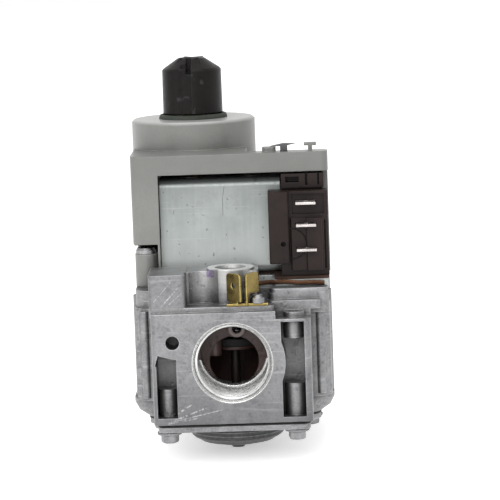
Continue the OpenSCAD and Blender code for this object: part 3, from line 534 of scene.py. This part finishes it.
def plated_finish(name):
    """Cool pale plate with long soft streaks, specks and thin bright scratches."""
    material, tree, shader, where = finish_base(name)
    streaks = add(tree, "Mapping", {"Vector": where, "Scale": (900.0, 60.0, 40.0)})
    rolled = noise(tree, streaks.outputs["Vector"], 1.0, 4, 0.6)
    cloud = noise(tree, where, 60, 4, 0.6)
    fine = noise(tree, where, 1600, 4, 0.6)
    colour = mixed(tree, ramp(tree, cloud, 0.3, 0.7), (0.175, 0.193, 0.189), (0.260, 0.281, 0.274))
    colour = mixed(tree, ramp(tree, rolled, 0.35, 0.7, 0.0, 0.16), colour, (0.40, 0.43, 0.42))
    # painted light: paler towards the foot, a painted reflection of the ledge, and darker towards the top, painted
    # shade
    split = add(tree, "SeparateXYZ", {"Vector": where})
    x, z = split.outputs["X"], split.outputs["Z"]
    colour = mixed(tree, ramp(tree, z, 28 * MM, 42 * MM, 0.6, 0.0), colour, (0.46, 0.48, 0.47))
    colour = mixed(tree, ramp(tree, z, 42 * MM, 54 * MM, 0.0, 0.45), colour, (0.14, 0.15, 0.147))
    specks = ramp(tree, noise(tree, where, 620, 1, 0.3), 0.70, 0.74)
    colour = mixed(tree, ramp(tree, specks, 0, 1, 0.0, 0.6), colour, (0.09, 0.085, 0.08))
    # scuffs near the top, then the seam and the speck
    scuff = maths(tree, "MULTIPLY", ramp(tree, noise(tree, where, 420, 5, 0.75), 0.52, 0.62),
                  ramp(tree, z, 38 * MM, 52 * MM, 0.05, 0.65))
    colour = mixed(tree, scuff, colour, (0.19, 0.19, 0.195))
    seam = 0.0
    for start, end, width in SEAM_AND_SPECK:
        seam = maths(tree, "MAXIMUM", seam, near_line(tree, x, z, start, end, width))
    colour = mixed(tree, maths(tree, "MULTIPLY", seam, 0.7), colour, (0.06, 0.06, 0.06))
    # painted highlight: edges lightened along the bends
    colour = mixed(tree, on_edges(tree, 0.4, 0.7), colour, (0.62, 0.66, 0.65))
    rub = add(tree, "Mapping", {"Vector": where, "Rotation": (0.0, 0.5, 0.0), "Scale": (30.0, 300.0, 1500.0)})
    scratch = ramp(tree, noise(tree, rub.outputs["Vector"], 1.0, 2, 0.5), 0.68, 0.71)
    colour = mixed(tree, ramp(tree, scratch, 0, 1, 0.0, 0.14), colour, (0.50, 0.51, 0.50))
    # painted shade in the recesses
    colour = painted_recess_shade(tree, colour, (0.12, 0.12, 0.11), 3.0, 0.6)
    tree.links.new(colour, shader.inputs["Base Color"])
    shader.inputs["Metallic"].default_value = 0.7
    tree.links.new(ramp(tree, fine, 0.3, 0.7, 0.34, 0.48), shader.inputs["Roughness"])
    normal = relief(tree, [(cloud, 0.12, 0.4), (fine, 0.10, 0.06), (scratch, 0.06, 0.03)], 0.35)
    tree.links.new(normal, shader.inputs["Normal"])
    return material


plated = plated_finish("zinc-plated steel")
bright_steel = plain_finish("bright steel", (0.12, 0.12, 0.124), (0.32, 0.32, 0.325), 1.0, 0.30, 1500, 0.08, 0.12,
                            recess=(0.05, 0.05, 0.05), edge_wear_and_glint=(0.75, 0.75, 0.75))
stained_steel = plain_finish("stained steel", (0.010, 0.006, 0.005), (0.025, 0.016, 0.014), 0.4, 0.5, 1500, 0.1, 0.12)
spring_steel = plain_finish("spring wire", (0.30, 0.30, 0.31), (0.48, 0.48, 0.49), 1.0, 0.32, 2400, 0.05, 0.0)
brass = plain_finish("stamped brass", (0.060, 0.044, 0.011), (0.36, 0.27, 0.095), 0.9, 0.32, 380, 0.25, 0.45,
                     recess=(0.03, 0.02, 0.005), edge_wear_and_glint=(0.85, 0.68, 0.25))
copper = plain_finish("bare copper", (0.050, 0.024, 0.013), (0.15, 0.075, 0.043), 0.9, 0.42, 900, 0.15, 0.0,
                      recess=(0.025, 0.012, 0.008))
tinned = plain_finish("tinned blades", (0.36, 0.33, 0.32), (0.54, 0.50, 0.49), 0.9, 0.30, 1300, 0.05, 0.12,
                      edge_wear_and_glint=(0.92, 0.90, 0.88))
enamelled = plain_finish("enamelled copper wire", (0.18, 0.06, 0.025), (0.30, 0.11, 0.045), 0.8, 0.3, 2200, 0.3, 0.0)


# %% [markdown]
# ## Plastics, rubber and paint
# The cover is warm grey with a fine grain, with painted shade on the front of its
# hood and a painted reflection on top of the round boss. The terminal block is a
# dark brown moulding with a slight sheen. The knob is black and worn, with a few
# dusty specks and painted highlights on its edges. The cap under the plate has
# pale rings, painted highlights on its pressed ridges.

# %% Cover and mouldings
grey_cover = plain_finish("grey cover", (0.118, 0.120, 0.112), (0.144, 0.146, 0.136), 0.0, 0.42, 1500, 0.07, 0.7,
                          recess=(0.045, 0.045, 0.04), patch=0.5, edge_wear_and_glint=(0.26, 0.26, 0.245), specular=0.4, coat=0.3)


def cover_zones(material):
    """Painted shade on the front of the hood and a painted reflection on top of the round boss."""
    tree = material.node_tree
    target = tree.nodes["Principled BSDF"].inputs["Base Color"]
    colour = target.links[0].from_socket
    split = add(tree, "SeparateXYZ", {"Vector": add(tree, "TexCoord").outputs["Object"]})
    y, z = split.outputs["Y"], split.outputs["Z"]
    # painted shade on the front of the hood, growing towards its top
    hood = maths(tree, "MULTIPLY", maths(tree, "LESS_THAN", y, 24 * MM), ramp(tree, z, 48 * MM, 58 * MM, 0.0, 0.35))
    colour = mixed(tree, hood, colour, (0.07, 0.07, 0.066))
    # painted reflection: the top of the round boss is paled
    colour = mixed(tree, ramp(tree, z, BOSS_CHAMFER_Z * MM, BOSS_TOP_Z * MM, 0.0, 0.7), colour, (0.34, 0.34, 0.33))
    tree.links.new(colour, target)


cover_zones(grey_cover)
brown_moulding = plain_finish("brown moulding", (0.0065, 0.0030, 0.0026), (0.019, 0.0115, 0.0100), 0.0, 0.42, 700, 0.14,
                              0.25, recess=(0.004, 0.002, 0.002), edge_wear_and_glint=(0.050, 0.038, 0.034), specular=0.16)
black_knob = plain_finish("black moulding", (0.0020, 0.0015, 0.0013), (0.0075, 0.0062, 0.0055), 0.0, 0.34, 620, 0.22,
                          0.35, speck=(0.020, 0.020, 0.020), edge_wear_and_glint=(0.035, 0.032, 0.030), specular=0.10, coat=0.04)
rubber = plain_finish("nitrile rubber", (0.006, 0.006, 0.006), (0.018, 0.018, 0.017), 0.0, 0.62, 1200, 0.3, 0.2,
                      specular=0.25)
ring_rubber = plain_finish("dusty rubber ring", (0.010, 0.012, 0.009), (0.040, 0.046, 0.036), 0.0, 0.6, 900, 0.5, 0.2,
                           specular=0.25)
fibre_sheet = plain_finish("pressed fibre", (0.022, 0.011, 0.008), (0.050, 0.026, 0.018), 0.0, 0.75, 1500, 0.5, 0.1,
                           specular=0.2)


def ringed_finish(name):
    """Dark coated steel with pale rings painted as highlights on the pressed ridges: rings = sin(2 pi (z - r / 2) / 1.3
    mm).
    """
    material, tree, shader, where = finish_base(name)
    split = add(tree, "SeparateXYZ", {"Vector": where})
    flat = add(tree, "CombineXYZ", {"X": split.outputs["X"], "Y": split.outputs["Y"]}).outputs["Vector"]
    radius = off_point(tree, flat, (0.0, MAIN_AXIS_Y, 0.0))
    run = maths(tree, "SUBTRACT", split.outputs["Z"], maths(tree, "MULTIPLY", radius, 0.5))
    rings = maths(tree, "SINE", maths(tree, "MULTIPLY", run, 2 * math.pi / (1.3 * MM)))
    fine = noise(tree, where, 900, 5)
    colour = mixed(tree, ramp(tree, fine, 0.3, 0.7), (0.040, 0.040, 0.042), (0.078, 0.078, 0.080))
    # pale rings: painted highlights on the pressed ridges
    share = maths(tree, "MULTIPLY", ramp(tree, rings, 0.3, 0.95, 0.0, 0.8), ramp(tree, fine, 0.35, 0.6, 0.3, 1.0))
    colour = mixed(tree, share, colour, (0.20, 0.20, 0.20))
    # painted shade in the recesses
    colour = painted_recess_shade(tree, colour, (0.015, 0.015, 0.015))
    tree.links.new(colour, shader.inputs["Base Color"])
    shader.inputs["Metallic"].default_value = 0.5
    tree.links.new(ramp(tree, fine, 0.3, 0.7, 0.36, 0.5), shader.inputs["Roughness"])
    tree.links.new(relief(tree, [(rings, 0.5, 0.12), (fine, 0.2, 0.15)], 0.4), shader.inputs["Normal"])
    return material


pressed_cap = ringed_finish("pressed cap")
dark_cap = plain_finish("dark coated cap", (0.050, 0.050, 0.052), (0.088, 0.088, 0.090), 0.55, 0.42, 900, 0.2, 0.4,
                        recess=(0.015, 0.015, 0.015), edge_wear_and_glint=(0.20, 0.20, 0.20))


# %% Finishes onto the CAD nodes
def wear(finish, *names):
    """Gives CAD nodes a finish in each of their material slots, and flat faces."""
    for name in names:
        for material_slot in nodes[name].material_slots:
            material_slot.material = finish
        nodes[name].data.polygons.foreach_set("use_smooth", [False] * len(nodes[name].data.polygons))


wear(cast, "body_casting", "bottom_plate")
wear(cast_small, "regulator_sleeve", "regulator_cap", "pilot_sleeve")
wear(dark_cap, "cover_clip")
wear(pressed_cap, "bottom_dome")
wear(plated, "coil_yoke", "operator_plate")
wear(stained_steel, "main_valve_stem", "diaphragm_plate")
wear(bright_steel, "screen_ring", "inlet_screen", "dome_rivet", "bottom_screws", "main_valve_spring",
     "first_valve_plunger", "first_valve_spring", "servo_plunger", "servo_spring", "pole_pieces", "ground_screw",
     "outlet_tap_plug", "inlet_tap_plug", "cover_screws", "pillar_screw", "knob_spring", "cock_rotor",
     "regulator_spring", "pilot_needle", "pilot_cap_screw")
wear(brass, "guide_tubes", "ground_terminal", "cock_stem", "stem_gland", "regulator_seat_button", "regulator_button",
     "regulator_screw", "pilot_screw", "pilot_filter")
wear(copper, "ground_wire")
wear(enamelled, "coil_windings")
wear(rubber, "bottom_gasket", "main_diaphragm", "main_valve_disc", "first_valve_disc", "servo_valve_tip",
     "regulator_diaphragm")
wear(ring_rubber, "bezel_ring")
wear(brown_moulding, "coil_bobbins", "connector_housing", "terminal_block")
wear(fibre_sheet, "operator_gasket")
wear(grey_cover, "top_cover")
wear(black_knob, "knob")
wear(tinned, "terminal_blades")


# %% [markdown]
# ## Pipe threads
# A taper pipe thread is a helix cut into the port wall, 14 turns to the inch.
# The sleeve's inner radius is the root radius less a clipped triangle wave of
# the phase `height / pitch - angle / turn`, so each turn climbs one pitch. The
# sleeve's outer wall lies against the wall of the CAD bore, which hides it.

# %% Port threads
PITCH = 25.4 / 14        # fourteen turns to the inch
thread_metal = plain_finish("machined aluminium", (0.56, 0.56, 0.555), (0.76, 0.76, 0.75), 0.85, 0.30, 900, 0.06, 0.0)


def port_thread(name, mouth, direction):
    """Threaded sleeve from the mouth inwards: r = root - depth * tooth(h / pitch - t / turn)."""
    length, outer, root, depth = 15.4, 12.17, 12.1, 0.80
    h_in = np.linspace(0.15, length, 130)
    h = np.concatenate([h_in, h_in[::-13]])
    inner = np.concatenate([np.ones(h_in.size), np.zeros(h_in[::-13].size)])

    def cut(t, r, h):
        phase = (h / PITCH - t / (2 * math.pi)) % 1.0
        tooth = np.clip(1.6 * (1 - np.abs(2 * phase - 1)) - 0.3, 0, 1)
        lead_in = np.clip(h / 1.6, 0.15, 1)
        return np.where(r > 0.5, root - depth * tooth * lead_in, outer), h

    grid, _, _ = turned(np.stack([inner, h], 1), mouth, direction, 144, cut)
    made = piece(name, [(grid, True, True)], thread_metal)
    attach(made, "valve_body")


port_thread("outlet_thread", (0, 0, 0), (0, 1, 0))
port_thread("inlet_thread", (0, INLET_MOUTH_Y, 0), (0, -1, 0))


# %% [markdown]
# ## Springs
# A compression spring is a wire helix whose end turns close up. The height
# climbs evenly between two flat ends of nine tenths of a turn each. Each spring
# stands in for a plain CAD sleeve. Four of them are named with a joint and get a
# mesh of their own. The regulator spring keeps its length, since its joint moves both
# ways.

# %% Wound springs
POINTS_PER_TURN, DEAD_TURNS = 30, 0.9


def spring(name, node, body, turns, wire, joint=None):
    """Helix filling the node's box; sizes in mm. A joint name, if given, gets the helix a mesh of its own."""
    low, high = (np.array(v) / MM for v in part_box(node))
    centre, middle_r = (low + high) / 2, (high[0] - low[0]) / 2 - wire
    s = np.linspace(0, 1, int(turns * POINTS_PER_TURN))
    flat = DEAD_TURNS / turns
    rise = np.clip((s - flat) / (1 - 2 * flat), 0, 1)
    z = low[2] + wire + (high[2] - low[2] - 2 * wire) * rise
    a = 2 * math.pi * turns * s
    path = np.stack([centre[0] + middle_r * np.cos(a), centre[1] + middle_r * np.sin(a), z], 1)
    made = piece(name, [carried(path, wire, 10)], spring_steel)
    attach(made, body)
    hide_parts(node)
    if joint:
        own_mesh(made)


spring("wound_main_spring", "main_valve_spring", "valve_body", 4.0, 0.40, "main_valve_lift")
spring("wound_first_spring", "first_valve_spring", "valve_body", 4.0, 0.30, "first_valve_lift")
spring("wound_servo_spring", "servo_spring", "valve_body", 4.5, 0.20, "servo_valve_lift")
spring("wound_knob_spring", "knob_spring", "gas_cock", 4.5, 0.35, "knob_push")
spring("wound_regulator_spring", "regulator_spring", "valve_body", 9.0, 0.45)


# %% [markdown]
# ## Floor screws
# The eight screws under the plate have a round lobed head on a serrated washer
# that bites into the plate. The washer's rim is a circle with forty small
# teeth and the head a circle with six shallow lobes.

# %% Lobed screws
WASHER_R, HEAD_R, SHANK_R, CORNER_R = 3.95, 2.85, 1.62, 0.22
LOBES, TEETH = 6, 40


def lobed_screw(x, y, turn):
    """Profile from the recess out over head and washer to the shank, spun with lobes and teeth."""
    top = -22.55
    profile = [(0, top - 2.0), (1.25, top - 2.0), (1.45, top - 3.55), (2.2, top - 3.8), (2.75, top - 3.45),
               (HEAD_R, top - 2.9), (HEAD_R, top - 1.25), (3.1, top - 1.1), (3.75, top - 1.0),
               (WASHER_R, top - 0.75), (WASHER_R, top - 0.1),
               (SHANK_R, top), (SHANK_R, -12.6), (1.3, -12.05), (0, -12.05)]

    def lobes(t, r, h):
        head = (r > 2.0) & (r < 3.0) & (h < top)
        recess = (r > 1.0) & (r < 1.5) & (h < top - 1.5)
        washer = r > 3.5
        r = np.where(head, r * (1 + 0.035 * np.cos(LOBES * (t + turn)) - 0.03), r)
        r = np.where(recess, r * (1 + 0.14 * np.cos(LOBES * (t + turn))), r)
        r = np.where(washer, r - 0.16 * np.clip(np.sin(TEETH * t) * 1.6, -0.2, 1), r)
        return r, h

    return turned(rounded_profile(profile, CORNER_R, 3), (x, y, 0), (0, 0, 1), 120, lobes)


screw_axes = [(-21.1, 5), (20.0, 5), (-24.4, 30), (24.4, 30), (-24.4, 76), (24.4, 76), (-20.5, 95), (20.5, 95)]
screws = piece("lobed_screws", [lobed_screw(x, y, 0.4 * k) for k, (x, y) in enumerate(screw_axes)], bright_steel)
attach(screws, "valve_body")
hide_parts("bottom_screws")


# %% [markdown]
# ## Earth wire
# The earth wire is seven bare strands twisted together: one in the middle and
# six round it, each turning once every nine millimetres.

# %% Stranded wire
def smooth_path(points, count):
    """Curve through the points: each span is a cubic whose end slopes are the central differences."""
    points = np.array(points, float)
    slope = np.gradient(points, axis=0)
    s = np.linspace(0, len(points) - 1 - 1e-9, count)
    k = s.astype(int)
    f = (s - k)[:, None]
    return ((2 * f ** 3 - 3 * f ** 2 + 1) * points[k] + (f ** 3 - 2 * f ** 2 + f) * slope[k]
            + (3 * f ** 2 - 2 * f ** 3) * points[k + 1] + (f ** 3 - f ** 2) * slope[k + 1])


def strands(path, count, strand_r, ring_r, lay):
    """Twisted strands: point = path + ring (cos p n + sin p b), p = 2 pi length / lay + 2 pi k / count."""
    tangent = np.gradient(path, axis=0)
    tangent /= np.linalg.norm(tangent, axis=1, keepdims=True)
    n = np.cross(tangent, np.broadcast_to((0, 0, 1.0), path.shape))
    n /= np.linalg.norm(n, axis=1, keepdims=True)
    b = np.cross(tangent, n)
    length = np.concatenate([[0], np.cumsum(np.linalg.norm(np.diff(path, axis=0), axis=1))])
    made = [carried(path, strand_r, 8)]
    for k in range(count):
        p = (2 * math.pi * (length / lay + k / count))[:, None]
        made.append(carried(path + ring_r * (np.cos(p) * n + np.sin(p) * b), strand_r, 8))
    return made


wire_path = smooth_path([(6.7, 5.5, 24.2), (8.9, 7.3, 24.2), (11.6, 9.9, 24.1), (14.2, 12.2, 23.75),
                         (18.2, 12.35, 23.75), (22.2, 12.5, 23.3), (26.2, 12.65, 23.3), (30.2, 12.8, 23.0)], 260)
wire = piece("stranded_wire", strands(wire_path, count=6, strand_r=0.26, ring_r=0.50, lay=9.0), copper)
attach(wire, "valve_body")
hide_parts("ground_wire")


# %% [markdown]
# ## Inlet screen, windings and gasket
# The inlet screen is a plain weave of steel wire: each wire is a sine wave and
# its neighbour the same wave shifted by half a period. The coils are wound
# wire, so their outside is a row of fine ridges. Under the outlet face a bead
# of gasket has been squeezed out unevenly when the plate was pulled up.

# %% Woven screen
def weave(radius, pitch, wire_r, depth):
    """Wires across a disc, in two ways: wire i swings by 0.95 wire_r cos(pi (s / pitch + i + way))."""
    made = []
    reach = int(radius / pitch)
    for way in (0, 1):
        for i in range(-reach, reach + 1):
            off = i * pitch
            half = math.sqrt(max(radius ** 2 - off ** 2, 0.6))
            s = np.linspace(-half, half, max(int(half * 10), 12))
            swing = wire_r * 0.95 * np.cos(math.pi * (s / pitch + i + way))
            side = np.full_like(s, off)
            cross = (s, side) if way == 0 else (side, s)
            made.append(carried(np.stack([cross[0], depth + swing, cross[1]], 1), wire_r, 6, hint=(0, 1.0, 0)))
    return made


screen = piece("woven_screen", weave(radius=10.75, pitch=1.0, wire_r=0.15, depth=82.9), bright_steel)
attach(screen, "valve_body")
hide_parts("inlet_screen")


# %% Coil windings
def wound_coil(x):
    """Ridged tube: outer radius = r + 0.12 |sin(pi h / wire)|, inner radius plain, closed at both ends."""
    inner, outer, low_z, high_z, wire_d = 6.1, 7.65, 28.4, 52.8, 0.42
    h = np.arange(low_z, high_z, wire_d / 4)
    out = np.stack([outer + 0.12 * np.abs(np.sin(math.pi * (h - low_z) / wire_d)), h], 1)
    back = np.stack([np.full(4, inner), np.linspace(high_z, low_z, 4)], 1)
    grid, _, _ = turned(np.concatenate([out, back]), (x, COIL_Y, 0), (0, 0, 1), 72)
    return grid, True, True


windings = piece("wound_coils", [wound_coil(x) for x in COIL_XS], enamelled)
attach(windings, "valve_body")
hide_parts("coil_windings")

# %% Squeezed gasket bead
chance = np.random.default_rng(7)
bead_x = np.linspace(-23.6, 23.4, 160)
rough_r = np.clip(0.20 + 0.12 * np.convolve(chance.normal(size=168), np.ones(9) / 3, "valid"), 0.06, 0.42)
bead_path = np.stack([bead_x, np.full_like(bead_x, 0.12), -20.36 + 0.10 * np.sin(bead_x * 1.7) * rough_r], 1)
bead = piece("gasket_bead", [carried(bead_path, rough_r, 8)], rubber)
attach(bead, "valve_body")

# %% Sizes of the CAD and of the looks
low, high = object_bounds()

# %% Floor and end
floor_z = low.z / MM - 0.6
floor_finish, tree, shader, where = finish_base("pale floor")
paper = mixed(tree, noise(tree, where, 3, 2), (0.90, 0.90, 0.90), (0.92, 0.92, 0.92))
tree.links.new(paper, shader.inputs["Base Color"])
shader.inputs["Roughness"].default_value = 0.9
shader.inputs["Emission Color"].default_value = (1.0, 1.0, 1.0, 1.0)
shader.inputs["Emission Strength"].default_value = 0.45
span = np.linspace(-3000, 3000, 5)
gx, gy = np.meshgrid(span, span, indexing="ij")
floor = piece("floor", [(np.stack([gx, gy + 500, np.full_like(gx, floor_z)], 2), False, False)], floor_finish)
if floor.data.polygons[0].normal.z < 0:
    floor.data.flip_normals()
